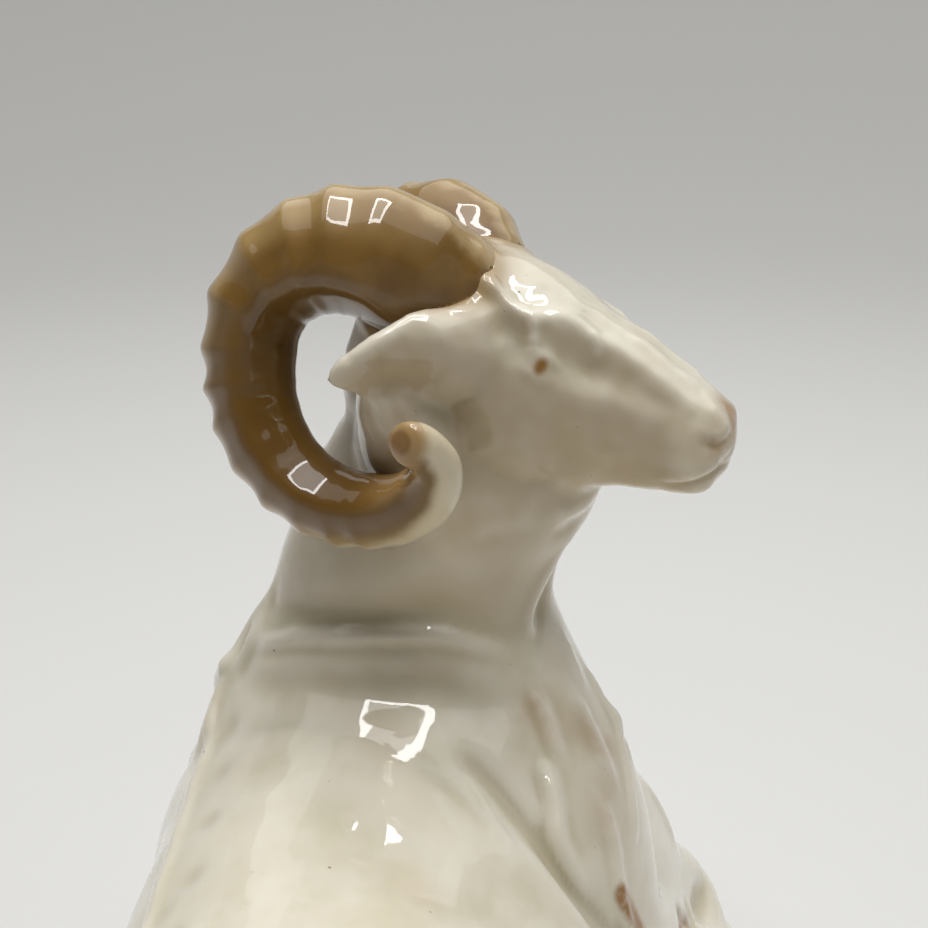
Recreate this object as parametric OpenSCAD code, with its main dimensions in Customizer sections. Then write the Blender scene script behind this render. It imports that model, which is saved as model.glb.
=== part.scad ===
// Reclining ram, a glazed porcelain figurine with curled brown horns.
// Hollow trunk, neck, head and horn castings and solid pressed legs, ears and
// tail, luted together. Millimetres, +Z up, the animal's trunk points to +X,
// its left side is +Y and its head is turned to the right, to -Y.

/* [Trunk] */
// how far the trunk leans over on its left side, degrees
trunk_lean = 33; // [28:1:38]
// distance from the middle of the trunk to the spine, mm
trunk_depth = 52.5; // [50:0.5:55]
// half of the trunk's breadth, mm
trunk_breadth = 40; // [37:1:43]

/* [Neck and head] */
// how far the head is turned to the animal's right, degrees
head_turn = 97; // [85:1:105]
// how far the nose is dropped, degrees
head_nod = 15; // [10:1:20]
// half of the neck's width across the collar, mm
neck_radius = 23; // [21:1:25]
// half of the head's width at the eyes, mm
head_breadth = 14.5; // [13:0.5:16]

/* [Horns and ears] */
// radius of a horn where it leaves the head, mm
horn_root_radius = 10.2; // [9:0.1:11]
// radius of a horn just before its rounded tip, mm
horn_tip_radius = 3.6; // [3:0.1:4.5]
// turn of the left horn's curl away from the head, degrees
left_horn_turn = 18; // [0:1:25]
// size of the left horn's curl beside the right one's
left_horn_size = 0.9; // [0.85:0.01:1]
// ridges around one horn
horn_ridges = 13; // [8:1:18]
// height of a ridge, mm
ridge_height = 0.35; // [0:0.05:0.6]
// length of an ear from the head's middle, mm
ear_reach = 27; // [24:1:30]

/* [Casting] */
// thickness of the cast walls, mm
wall = 3; // [2.5:0.5:4]
// thickness of the slab that closes the underside, mm
slab = 4; // [3:0.5:6]
// diameter of the vent hole in the underside, mm
vent_diameter = 9; // [6:0.5:12]

/* [Quality] */
// points around the trunk
trunk_points = 36; // [32:4:48]
// points around the thinner pieces
limb_points = 16; // [12:4:24]

/* [Hidden] */

glaze_white = [0.86, 0.84, 0.79];
horn_brown = [0.55, 0.41, 0.25];
far = 400;

// the head's own frame: forward along the face, up, and to its left
head_middle = [45.5, 9, 143.9];
face_level = [cos(head_turn), -sin(head_turn), 0];
face_fwd = cos(head_nod) * face_level - sin(head_nod) * [0, 0, 1];
face_up = sin(head_nod) * face_level + cos(head_nod) * [0, 0, 1];
face_left = cross(face_up, face_fwd);

// trunk stations: x, middle y, middle z, share of the depth, share of the breadth
trunk_stations = [
    [-99, 2, 34, 0.16, 0.14], [-95, 2, 35, 0.48, 0.46], [-84, 1, 38, 0.74, 0.78],
    [-66, 1, 40, 0.87, 0.95], [-44, 1, 42, 0.91, 0.98], [-20, 3, 42.5, 0.93, 0.95],
    [4, 6.5, 43.5, 0.96, 0.94], [26, 9, 44.5, 1.00, 0.97], [44, 8, 44, 1.00, 0.96],
    [60, 5, 42, 0.93, 0.90], [73, 1, 39, 0.76, 0.77], [82, -2, 37, 0.50, 0.53],
    [86, -3, 36, 0.18, 0.18]];

// neck stations: x, y, z, share of the radius across the face, share along the trunk
neck_stations = [
    [32, 8, 58, 1.66, 1.75], [36, 10, 70, 1.64, 1.64], [39, 12.6, 81, 1.55, 1.46],
    [43, 14.6, 90, 1.38, 1.24], [46, 15.2, 97.5, 1.20, 1.06],
    [47.5, 14.6, 105, 1.04, 0.98], [47.5, 12.6, 113, 1.02, 0.90],
    [47, 9.0, 120, 1.05, 0.83], [46.5, 6.4, 127, 1.02, 0.76],
    [46, 5.6, 135, 0.84, 0.66], [45.5, 5.2, 144, 0.62, 0.54], [45.5, 5.0, 151, 0.32, 0.32]];

// head stations: forward, middle height, half height, share of the breadth, squareness
head_stations = [
    [-14, 0, 4, 0.25, 2], [-12.5, 0, 10.5, 0.58, 2], [-8, 0.8, 16.2, 0.89, 2.2],
    [-1.5, 1.2, 19.4, 1.02, 2.3], [5, 1.2, 19.9, 1.06, 2.3], [12, 1.8, 18.5, 1.03, 2.3],
    [18, 2.2, 16.6, 0.98, 2.3], [24, 2.2, 14.4, 0.80, 2.3], [30, 2.7, 11.9, 0.66, 2.3],
    [36, 2.8, 9.8, 0.57, 2.4], [41.5, 2.6, 8.1, 0.53, 2.4], [45, 2.3, 5.9, 0.44, 2.2],
    [47, 2.2, 2.0, 0.17, 2]];

// horn stations in the head's frame: forward, up, outward, share of the way root to tip
horn_stations = [
    [0, 12, 5, 0.02], [-4.5, 14.6, 8.5, 0.0], [-9.8, 16.1, 10.6, 0.03], [-15.6, 15.2, 12, 0.10],
    [-20.8, 12.1, 13.5, 0.22], [-24.3, 7.1, 15, 0.34], [-25, 1.5, 16.5, 0.43],
    [-23.6, -4.1, 18, 0.48], [-21, -9.3, 19.5, 0.52], [-16.6, -13.9, 21, 0.56],
    [-10.8, -17.1, 22, 0.61], [-4.2, -18, 23, 0.65], [1.6, -16.6, 24, 0.70],
    [7.1, -13.4, 25.5, 0.78], [11, -8.5, 27.5, 0.86], [12, -3.7, 30, 0.93],
    [10.6, -0.8, 32.4, 0.97], [8.9, 0.3, 34.6, 1.0], [8.2, 0.6, 36.2, 1.25]];

// ear stations in the head's frame: forward, up, outward share, half width, half thickness
ear_stations = [
    [10, 9.5, 0.30, 7.0, 4.2], [7, 7.8, 0.50, 8.0, 4.4], [4, 7.2, 0.64, 6.8, 3.8],
    [0, 5.7, 0.78, 5.3, 3.0], [-4, 3.4, 0.91, 3.6, 2.3], [-6.6, 1.8, 0.985, 1.9, 1.4],
    [-7.2, 1.4, 1.0, 0.6, 0.5]];

// limb stations: x, y, z, radius
foreleg_left_stations = [
    [56, -4, 22, 14], [68, -14, 18, 13], [79, -25, 15, 11], [86, -33, 12.5, 9],
    [84, -39, 9.5, 7.6], [74, -42, 7.6, 6.4], [62, -43, 6.6, 5.8], [52, -43.5, 6.2, 6.2],
    [44, -44, 5.6, 5.4]];
foreleg_right_stations = [
    [22, -10, 54, 20], [34, -15, 47, 19], [48, -20, 42, 15], [62, -24, 38.5, 11],
    [73, -27, 35, 9], [77, -31, 30, 7.8], [72, -35, 27.5, 6.6], [63, -36.5, 28.5, 6],
    [55, -35.5, 32, 5.8], [49, -33, 36.5, 6], [45.5, -31, 39.5, 5]];
hind_leg_right_stations = [
    [-68, -8, 50, 27], [-56, -14, 47, 28], [-42, -20, 41, 26], [-28, -29, 32, 20],
    [-20, -38, 22, 14], [-28, -46, 15, 11], [-44, -52, 11, 9], [-60, -56, 9, 8.6],
    [-64, -61, 8, 7.6], [-52, -64, 7, 6.4], [-38, -65, 6.4, 5.8], [-27, -65.5, 6.4, 6.4],
    [-19, -66, 5.6, 5.4]];
hind_leg_left_stations = [
    [-36, -8, 17, 16], [-18, -20, 15, 15], [-3, -31, 12.5, 12], [5, -39, 10, 9.6],
    [2, -47, 8, 7.6], [-8, -50, 7, 6.4], [-17, -51, 6.4, 6.2], [-24, -51.5, 5.6, 5.4]];
tail_stations = [
    [-84, 14, 66, 9], [-92, 14, 60, 9], [-97, 13, 51, 8], [-99, 11, 42, 7],
    [-98.5, 9, 34, 5.4], [-97, 8, 28, 3.6]];

// smooth value at place s along a list of stations (Catmull-Rom)
function pick(list, i) = list[min(max(i, 0), len(list) - 1)];
function blend(a, b, c, d, f) = 0.5 * (2 * b + (c - a) * f
    + (2 * a - 5 * b + 4 * c - d) * f * f + (3 * b - a - 3 * c + d) * f * f * f);
function along(list, s) = let (i = min(floor(s), len(list) - 2), f = s - i)
    blend(pick(list, i - 1), pick(list, i), pick(list, i + 1), pick(list, i + 2), f);
function unit(v) = v / norm(v);
function steps(list, n) = [for (k = [0:n]) k * (len(list) - 1) / n];
function rounded(c, power) = sign(c) * pow(abs(c), 2 / power);

// one ring of points about a middle, with two half axes and a squareness
function ring(middle, u, v, a, b, n, power = 2) = [for (k = [0:n - 1])
    let (g = 360 * k / n)
    middle + a * rounded(cos(g), power) * u + b * rounded(sin(g), power) * v];

// closed skin over a list of rings, all with the same number of points
function centre(r) = [for (v = r) 1] * r / len(r);
function turns_forward(rings) = let (a = centre(rings[0]), b = centre(rings[1]), r = rings[0])
    cross(r[0] - a, r[floor(len(r) / 4)] - a) * (b - a) > 0;
function flipped(list) = [for (k = [len(list) - 1:-1:0]) list[k]];

module skin(rings) {
    n = len(rings[0]);
    sorted = turns_forward(rings) ? rings : flipped(rings);
    m = len(sorted);
    walls = [for (r = [0:m - 2], k = [0:n - 1]) let (q = (k + 1) % n)
        each [[r * n + k, (r + 1) * n + q, r * n + q],
              [r * n + k, (r + 1) * n + k, (r + 1) * n + q]]];
    first = [for (k = [0:n - 1]) k];
    last = [for (k = [n - 1:-1:0]) (m - 1) * n + k];
    polyhedron(points = [for (r = sorted) each r], faces = concat(walls, [first], [last]),
        convexity = 8);
}

// joins a casting into one piece of fired clay
module fired() { resize([0, 0, 0]) children(); }

module above_table() { intersection() { children(); translate([-far, -far, 0]) cube(2 * far); } }

// trunk as a leaning barrel, thinner all round by "inset"
module trunk_form(inset = 0) {
    up = [0, sin(trunk_lean), cos(trunk_lean)];
    side = [0, cos(trunk_lean), -sin(trunk_lean)];
    skin([for (s = steps(trunk_stations, inset > 0 ? 16 : 28)) let (p = along(trunk_stations, s))
        let (pull = p[0] < 0 ? inset : -inset)
        ring([p[0] + pull * min(1, abs(p[0]) / 80), p[1], p[2]], up, side,
            max(trunk_depth * p[3] - inset, 1), max(trunk_breadth * p[4] - inset, 1),
            trunk_points)]);
}

module neck_form(inset = 0) {
    skin([for (s = steps(neck_stations, inset > 0 ? 12 : 18)) let (p = along(neck_stations, s))
        ring([p[0], p[1], p[2]], [0, 1, 0], [-1, 0, 0],
            max(neck_radius * p[3] - inset, 1), max(neck_radius * p[4] - inset, 1),
            trunk_points)]);
}

module head_form(inset = 0) {
    skin([for (s = steps(head_stations, inset > 0 ? 14 : 22)) let (p = along(head_stations, s))
        ring(head_middle + (p[0] * (1 - inset / 30)) * face_fwd + p[1] * face_up,
            face_up, face_left, max(p[2] - inset, 0.8), max(head_breadth * p[3] - inset, 0.8),
            32, p[4])]);
}

// place in the head's frame; side is 1 for the animal's left, -1 for its right
function on_head(p, side) = head_middle + p[0] * face_fwd + p[1] * face_up
    + side * p[2] * face_left;

// a horn station in the head's frame; the left curl is turned out and a little smaller
function on_horn(p, side) = side < 0 ? on_head(p, side) :
    let (f = p[0], o = p[2] - 5, c = cos(left_horn_turn), s = sin(left_horn_turn))
    on_head([left_horn_size * (f * c + o * s), 12 + left_horn_size * (p[1] - 12),
        5 + left_horn_size * (o * c - f * s)], side);

module horn_form(side, inset = 0, upto = 1) {
    n = inset > 0 ? 44 : 72;
    last = round(n * upto);
    path = steps(horn_stations, n);
    skin([for (k = [0:last])
        let (p = along(horn_stations, path[k]),
            q = along(horn_stations, path[min(k + 1, n)]),
            o = along(horn_stations, path[max(k - 1, 0)]),
            t = unit(on_horn(q, side) - on_horn(o, side)),
            u = unit(cross(t, side * face_left)), v = cross(u, t),
            grown = min(max(p[3], 0), 1),
            end_round = p[3] > 1 ? sqrt(max(1 - pow((p[3] - 1) / 0.27, 2), 0.02)) : 1,
            ripple = ridge_height * (1 - grown) * cos(360 * horn_ridges * k / n),
            r = (horn_root_radius + (horn_tip_radius - horn_root_radius) * grown + ripple)
                * end_round - inset)
        ring(on_horn(p, side), u, v, max(r, 0.5), max(r, 0.5), limb_points)]);
}

module ear_form(side) {
    skin([for (s = steps(ear_stations, 12))
        let (p = along(ear_stations, s), out = ear_reach * p[2],
            axis = unit(side * 0.8 * face_left - 0.5 * face_fwd - 0.3 * face_up),
            wide = unit(face_up - (face_up * axis) * axis), thick = cross(wide, axis))
        ring(on_head([p[0], p[1], out], side), wide, thick, p[3], p[4], limb_points)]);
}

// a limb as a chain of balls, each blended into the next
module limb_form(list) {
    path = steps(list, 2 * (len(list) - 1));
    above_table() union() for (k = [0:len(path) - 2]) hull() for (s = [path[k], path[k + 1]]) {
        p = along(list, s);
        translate([p[0], p[1], p[2]]) sphere(p[3], $fn = limb_points);
    }
}

module trunk_shell() {
    color(glaze_white) fired() difference() {
        trunk_form();
        trunk_form(wall);
        translate([-far, -far, -2 * far + slab]) cube(2 * far);
    }
}

module underside_slab() {
    color(glaze_white) fired() difference() {
        intersection() {
            trunk_form();
            translate([-far, -far, 0]) cube([2 * far, 2 * far, slab]);
        }
        translate([-10, 8, -1]) cylinder(d = vent_diameter, h = slab + 2, $fn = 48);
    }
}

module neck_shell() {
    color(glaze_white) fired() difference() {
        neck_form();
        neck_form(wall);
        trunk_form();
        translate([45.5, 5.5, 140]) cylinder(r = 5, h = 20, $fn = 32);
    }
}

module head_shell() {
    color(glaze_white) fired() difference() {
        head_form();
        head_form(wall);
        neck_form();
    }
}

module horn(side) {
    color(horn_brown) fired() difference() {
        horn_form(side);
        horn_form(side, wall, 0.55);
        head_form();
        neck_form();
    }
}

module horn_right() { horn(-1); }
module horn_left() { horn(1); }

module ear(side) {
    color(glaze_white) fired() difference() {
        ear_form(side);
        head_form();
        horn_form(side);
    }
}

module ear_right() { ear(-1); }
module ear_left() { ear(1); }

module foreleg_left() {
    color(glaze_white) fired() difference() {
        limb_form(foreleg_left_stations);
        trunk_form();
    }
}

module foreleg_right() {
    color(glaze_white) fired() difference() {
        limb_form(foreleg_right_stations);
        trunk_form();
        neck_form();
        limb_form(foreleg_left_stations);
    }
}

module hind_leg_left() {
    color(glaze_white) fired() difference() {
        limb_form(hind_leg_left_stations);
        trunk_form();
    }
}

module hind_leg_right() {
    color(glaze_white) fired() difference() {
        limb_form(hind_leg_right_stations);
        trunk_form();
        limb_form(hind_leg_left_stations);
    }
}

module tail() {
    color(glaze_white) fired() difference() {
        limb_form(tail_stations);
        trunk_form();
    }
}

trunk_shell();
underside_slab();
neck_shell();
head_shell();
horn_right();
horn_left();
ear_right();
ear_left();
foreleg_right();
foreleg_left();
hind_leg_right();
hind_leg_left();
tail();
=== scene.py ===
# %% [markdown]
# # A reclining ram in glazed porcelain
#
# The figurine is a lying ram with long curled brown horns and its head turned to its right.
# The real one is slip-cast in several moulds: trunk, neck, head and horns are hollow, the legs,
# ears and tail are pressed solid. The leather-hard pieces are joined with slip, the seams are
# wiped away, the horns are sprayed brown, and everything is dipped in a clear glaze.
#
# The model is made in the same order. Each casting starts as a plain form, the forms are
# joined into one skin, the joints are smoothed, the details are modelled into the skin with
# a few sculptor's strokes, and the skin is then parted again along the joints, so that every
# casting is an object of its own.

# %% Frame
import math

import bmesh
import bpy
import numpy as np
from mathutils import Matrix, Vector
from mathutils.bvhtree import BVHTree
from mathutils.kdtree import KDTree


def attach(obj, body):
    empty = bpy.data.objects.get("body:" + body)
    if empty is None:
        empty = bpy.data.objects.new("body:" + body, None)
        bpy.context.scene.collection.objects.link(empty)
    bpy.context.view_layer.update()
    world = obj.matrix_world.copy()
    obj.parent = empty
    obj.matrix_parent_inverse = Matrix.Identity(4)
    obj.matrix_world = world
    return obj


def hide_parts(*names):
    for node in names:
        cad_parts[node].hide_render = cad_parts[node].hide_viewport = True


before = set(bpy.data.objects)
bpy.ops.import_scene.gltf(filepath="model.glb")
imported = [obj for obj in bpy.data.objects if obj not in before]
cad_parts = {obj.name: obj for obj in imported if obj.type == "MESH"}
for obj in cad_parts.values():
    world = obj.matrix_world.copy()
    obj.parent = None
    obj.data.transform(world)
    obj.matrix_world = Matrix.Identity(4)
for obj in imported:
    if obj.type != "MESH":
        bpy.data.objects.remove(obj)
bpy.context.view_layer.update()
print("castings in the frame:", sorted(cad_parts))

# %% [markdown]
# ## Working in millimetres
#
# Clay is worked in millimetres here, because every size of the real figurine is a few
# millimetres or centimetres. The finished pieces are brought to metres at the very end.
#
# The head has a frame of its own: forward along the face, up through the crown, and left.
# Everything on the face is placed in it, so that turning the head moves all of it.

# %% The head's frame
HEAD_TURN = math.radians(97)
HEAD_NOD = math.radians(15)
HEAD_MIDDLE = np.array([45.5, 9.0, 143.9])

level = np.array([math.cos(HEAD_TURN), -math.sin(HEAD_TURN), 0.0])
upright = np.array([0.0, 0.0, 1.0])
face_fwd = math.cos(HEAD_NOD) * level - math.sin(HEAD_NOD) * upright
face_up = math.sin(HEAD_NOD) * level + math.cos(HEAD_NOD) * upright
face_left = np.cross(face_up, face_fwd)


def on_head(forward, up, outward=0.0, side=-1):
    """A place on the head; side is 1 for the animal's left and -1 for its right."""
    return HEAD_MIDDLE + forward * face_fwd + up * face_up + side * outward * face_left


# %% [markdown]
# ## Forms pulled from rings
#
# A form is a row of rings, like the coils of a coil pot. Only a few stations are given for
# each form, and a smooth curve through them gives the rings between. In Blender the first
# ring is a circle, and every next one is extruded from the one before and laid in its place,
# which is what a modeller does by hand with E, S and G.

# %% Rings from stations
def along(stations, place):
    """The values at a place along the stations, on a smooth curve through them."""
    last = len(stations) - 1
    i = min(int(place), last - 1)
    f = place - i
    a, b, c, d = (np.array(stations[min(max(k, 0), last)]) for k in (i - 1, i, i + 1, i + 2))
    return 0.5 * (2 * b + (c - a) * f + (2 * a - 5 * b + 4 * c - d) * f**2
                  + (3 * b - a - 3 * c + d) * f**3)


def ring(middle, u, v, half_u, half_v, count, squareness=2.0):
    """Points round a middle, with two half widths and a squareness (2 is an ellipse)."""
    angle = np.linspace(0, 2 * np.pi, count, endpoint=False)
    c, s = np.cos(angle), np.sin(angle)
    c = np.sign(c) * np.abs(c) ** (2 / squareness)
    s = np.sign(s) * np.abs(s) ** (2 / squareness)
    return middle + half_u * c[:, None] * u + half_v * s[:, None] * v


# %% Pulling a form
def only(obj):
    bpy.ops.object.select_all(action="DESELECT")
    obj.select_set(True)
    bpy.context.view_layer.objects.active = obj


def pull_form(name, rings):
    """A closed form: a circle is extruded ring by ring, and both ends are filled."""
    bpy.ops.object.select_all(action="DESELECT")
    bpy.ops.mesh.primitive_circle_add(vertices=len(rings[0]))
    form = bpy.context.object
    form.name = form.data.name = name
    for vertex, point in zip(form.data.vertices, rings[0]):
        vertex.co = point
    bpy.ops.object.mode_set(mode="EDIT")
    bpy.ops.mesh.select_all(action="SELECT")
    bpy.ops.mesh.edge_face_add()
    for before, after in zip(rings, rings[1:]):
        place = {tuple(np.round(p, 3)): q for p, q in zip(before.astype(np.float32), after)}
        bpy.ops.mesh.extrude_region_move()
        clay = bmesh.from_edit_mesh(form.data)
        for vertex in [v for v in clay.verts if v.select]:
            vertex.co = place[tuple(np.round(np.array(vertex.co, np.float32), 3))]
    bpy.ops.mesh.select_all(action="SELECT")
    bpy.ops.mesh.normals_make_consistent(inside=False)
    bpy.ops.object.mode_set(mode="OBJECT")
    return form


# %% [markdown]
# ## The body forms
#
# The trunk is a leaning barrel: the animal has rolled onto its left side a little, so the
# spine runs high on the left and all four legs come out on the right. The neck rises from the
# shoulders as a flared stem, and the head is a long tapering form, squarer than round.

# %% Trunk, neck and head
TRUNK_LEAN = math.radians(33)
TRUNK_DEPTH = 52.5
TRUNK_BREADTH = 40.0
NECK_RADIUS = 23.0
HEAD_BREADTH = 14.5

# x, middle y, middle z, share of the depth, share of the breadth
trunk_stations = [
    (-99, 2, 34, 0.16, 0.14), (-95, 2, 35, 0.48, 0.46), (-84, 1, 38, 0.74, 0.78),
    (-66, 1, 40, 0.87, 0.95), (-44, 1, 42, 0.91, 0.98), (-20, 3, 42.5, 0.93, 0.95),
    (4, 6.5, 43.5, 0.96, 0.94), (26, 9, 44.5, 1.00, 0.97), (44, 8, 44, 1.00, 0.96),
    (60, 5, 42, 0.93, 0.90), (73, 1, 39, 0.76, 0.77), (82, -2, 37, 0.50, 0.53),
    (86, -3, 36, 0.18, 0.18)]
# x, y, z, share of the radius across the face, share along the trunk
neck_stations = [
    (32, 8, 58, 1.66, 1.75), (36, 10, 70, 1.64, 1.64), (39, 12.6, 81, 1.55, 1.46),
    (43, 14.6, 90, 1.38, 1.24), (46, 15.2, 97.5, 1.20, 1.06),
    (47.5, 14.6, 105, 1.04, 0.98), (47.5, 12.6, 113, 1.02, 0.90),
    (47, 9.0, 120, 1.05, 0.83), (46.5, 6.4, 127, 1.02, 0.76),
    (46, 5.6, 135, 0.84, 0.66), (45.5, 5.2, 144, 0.62, 0.54), (45.5, 5, 151, 0.32, 0.32)]
# forward, middle height, half height, share of the breadth
head_stations = [
    (-14, 0, 4, 0.25), (-12.5, 0, 10.5, 0.58), (-8, 0.8, 16.2, 0.89), (-1.5, 1.2, 19.4, 1.02),
    (5, 1.2, 19.9, 1.06), (12, 1.8, 18.5, 1.03), (18, 2.2, 16.6, 0.98),
    (24, 2.2, 14.4, 0.80), (30, 2.7, 11.9, 0.66), (36, 2.8, 9.8, 0.57),
    (41.5, 2.6, 8.1, 0.53), (45, 2.3, 5.9, 0.44), (47, 2.2, 2.0, 0.17)]


def places(stations, count):
    return np.linspace(0, len(stations) - 1, count)


def trunk_rings(count=70):
    to_spine = np.array([0, math.sin(TRUNK_LEAN), math.cos(TRUNK_LEAN)])
    to_side = np.array([0, math.cos(TRUNK_LEAN), -math.sin(TRUNK_LEAN)])
    for place in places(trunk_stations, count):
        x, y, z, depth, breadth = along(trunk_stations, place)
        yield ring(np.array([x, y, z]), to_spine, to_side,
                   TRUNK_DEPTH * depth, TRUNK_BREADTH * breadth, 72)


def neck_rings(count=46):
    for place in places(neck_stations, count):
        x, y, z, across, lengthways = along(neck_stations, place)
        yield ring(np.array([x, y, z]), np.array([0, 1, 0]), np.array([-1, 0, 0]),
                   NECK_RADIUS * across, NECK_RADIUS * lengthways, 64)


def head_rings(count=54):
    for place in places(head_stations, count):
        forward, height, half, breadth = along(head_stations, place)
        yield ring(on_head(forward, height), face_up, face_left,
                   half, HEAD_BREADTH * breadth, 56, squareness=2.3)


forms = {
    "trunk_shell": pull_form("trunk_shell form", list(trunk_rings())),
    "neck_shell": pull_form("neck_shell form", list(neck_rings())),
    "head_shell": pull_form("head_shell form", list(head_rings())),
}
print("pulled:", list(forms))

# %% [markdown]
# ## Ears, legs and tail
#
# The ears point out and back below the horns, each a flattened cone that flares where it
# joins the head. A folded leg is a tapering tube with tight bends at its joints. The rings
# of a tube stand square to its path.

# %% Tubes
def tube_rings(path, flatten=1.0, count=16, points=28):
    """Rings square to a path of (x, y, z, radius); flatten narrows them up and down."""
    steps = [along(path, place) for place in places(path, count)]
    middles = np.array([s[:3] for s in steps])
    ahead = np.gradient(middles, axis=0)
    for middle, step, way in zip(middles, steps, ahead):
        way = way / np.linalg.norm(way)
        wide = np.cross(way, upright)
        wide /= np.linalg.norm(wide)
        thick = np.cross(wide, way)
        yield ring(middle, wide, thick, max(step[3], 0.4), max(step[3] * flatten, 0.4), points)


# forward, up, outward, half width, half thickness
ear_stations = [
    (12, 8.5, 6, 7.0, 4.6), (9.5, 7.6, 11, 8.2, 4.8), (6.5, 7.4, 15, 7.8, 4.4),
    (3.5, 7.0, 18.4, 6.6, 3.7), (0, 5.7, 21.4, 5.2, 2.9), (-3.4, 3.9, 24.4, 3.7, 2.3),
    (-6, 2.3, 26.4, 2.2, 1.7), (-7.2, 1.5, 27.2, 0.8, 0.8)]


def ear_rings(side, count=26):
    for place in places(ear_stations, count):
        forward, up, outward, wide, thick = along(ear_stations, place)
        way = side * 0.8 * face_left - 0.5 * face_fwd - 0.3 * face_up
        way /= np.linalg.norm(way)
        broad = face_up - np.dot(face_up, way) * way
        broad /= np.linalg.norm(broad)
        yield ring(on_head(forward, up, outward, side), broad, np.cross(broad, way),
                   max(wide, 0.5), max(thick, 0.5), 28)


# %% Ears, legs and tail
limb_paths = {
    "foreleg_left": [
        (56, -4, 22, 14), (68, -14, 18, 13), (79, -25, 15, 11), (86, -33, 12.5, 9),
        (84, -39, 9.5, 7.6), (74, -42, 7.6, 6.4), (62, -43, 6.6, 5.8), (52, -43.5, 6.2, 6.2),
        (44, -44, 5.6, 5.4), (41, -44, 5.4, 2)],
    "foreleg_right": [
        (22, -10, 54, 20), (34, -15, 47, 19), (48, -20, 42, 15), (62, -24, 38.5, 11),
        (73, -27, 35, 9), (77, -31, 30, 7.8), (72, -35, 27.5, 6.6), (63, -36.5, 28.5, 6),
        (55, -35.5, 32, 5.8), (49, -33, 36.5, 6), (45.5, -31, 39.5, 5), (43, -30, 42, 2)],
    "hind_leg_right": [
        (-68, -8, 50, 27), (-56, -14, 47, 28), (-42, -20, 41, 26), (-28, -29, 32, 20),
        (-20, -38, 22, 14), (-28, -46, 15, 11), (-44, -52, 11, 9), (-60, -56, 9, 8.6),
        (-64, -61, 8, 7.6), (-52, -64, 7, 6.4), (-38, -65, 6.4, 5.8), (-27, -65.5, 6.4, 6.4),
        (-19, -66, 5.6, 5.4), (-15, -66, 5.4, 2)],
    "hind_leg_left": [
        (-36, -8, 17, 16), (-18, -20, 15, 15), (-3, -31, 12.5, 12), (5, -39, 10, 9.6),
        (2, -47, 8, 7.6), (-8, -50, 7, 6.4), (-17, -51, 6.4, 6.2), (-24, -51.5, 5.6, 5.4),
        (-27, -51.5, 5.4, 2)],
    "tail": [
        (-84, 14, 66, 9), (-92, 14, 60, 9), (-97, 13, 51, 8), (-99, 11, 42, 7),
        (-98.5, 9, 34, 5.4), (-97, 8, 28, 3.6), (-96.5, 7.6, 25, 1)],
}

# forward, up, outward, radius: the clay that fills the corner below an ear
web_path = [(-3.6, 2.4, 22.6, 1.8), (-1.6, -0.4, 19.6, 4.2), (0.6, -4.2, 15.6, 7.0),
            (2, -8.4, 10.6, 9.4), (2, -14, 5, 10.0)]

for side, name in ((-1, "right"), (1, "left")):
    forms["ear_" + name] = pull_form("ear form", list(ear_rings(side)))
    web = [(*on_head(f, u, o, side), radius) for f, u, o, radius in web_path]
    forms["web_" + name] = pull_form("web form", list(tube_rings(web, count=20)))
for name, path in limb_paths.items():
    rings = list(tube_rings(path, count=4 * len(path)))
    forms[name] = pull_form(name + " form", rings)
print("pulled:", list(forms))

# %% [markdown]
# ## One skin
#
# Joining the forms and remeshing them at 0.8 mm gives one closed skin, as when the castings
# are luted together. Where two forms meet there is a sharp valley. A potter fills it with
# slip and wipes it round, so those places, and only those, are smoothed more than the rest.

# %% Reading and writing a mesh as an array
def read_vectors(rows, field):
    flat = np.empty(len(rows) * 3)
    rows.foreach_get(field, flat)
    return flat.reshape(-1, 3)


def points_of(obj):
    return read_vectors(obj.data.vertices, "co")


def normals_of(obj):
    return read_vectors(obj.data.vertices, "normal")


def move_points(obj, points):
    obj.data.vertices.foreach_set("co", points.ravel())
    obj.data.update()


def tree_of(obj):
    return BVHTree.FromPolygons([v.co for v in obj.data.vertices],
                                [p.vertices for p in obj.data.polygons])


def modifier(obj, kind, **settings):
    """Adds a modifier with its settings and applies it."""
    only(obj)
    bpy.ops.object.modifier_add(type=kind)
    added = obj.modifiers[-1]
    for key, value in settings.items():
        setattr(added, key, value)
    bpy.ops.object.modifier_apply(modifier=added.name)


# %% Joining and remeshing
form_trees = {name: tree_of(form) for name, form in forms.items()}
form_boxes = {name: (points_of(form).min(0), points_of(form).max(0))
              for name, form in forms.items()}
bpy.ops.object.select_all(action="DESELECT")
for form in forms.values():
    form.select_set(True)
bpy.context.view_layer.objects.active = forms["trunk_shell"]
bpy.ops.object.join()
skin = bpy.context.object
skin.name = skin.data.name = "skin"
modifier(skin, "REMESH", mode="VOXEL", voxel_size=0.8)
print("one skin of", len(skin.data.polygons), "faces")

# %% How far every point of the skin is from each form
REACH = 10.0


def distances(points):
    """One row for each form: the distance of every point from its surface, up to REACH."""
    rows = {}
    for name, tree in form_trees.items():
        low, high = form_boxes[name]
        row = np.full(len(points), REACH)
        near = np.all((points > low - REACH) & (points < high + REACH), axis=1)
        for i in np.flatnonzero(near):
            found = tree.find_nearest(points[i], REACH)
            if found[3] is not None:
                row[i] = found[3]
        rows[name] = row
    return rows


rows = distances(points_of(skin))
second_nearest = np.sort(np.array(list(rows.values())), axis=0)[1]

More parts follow.
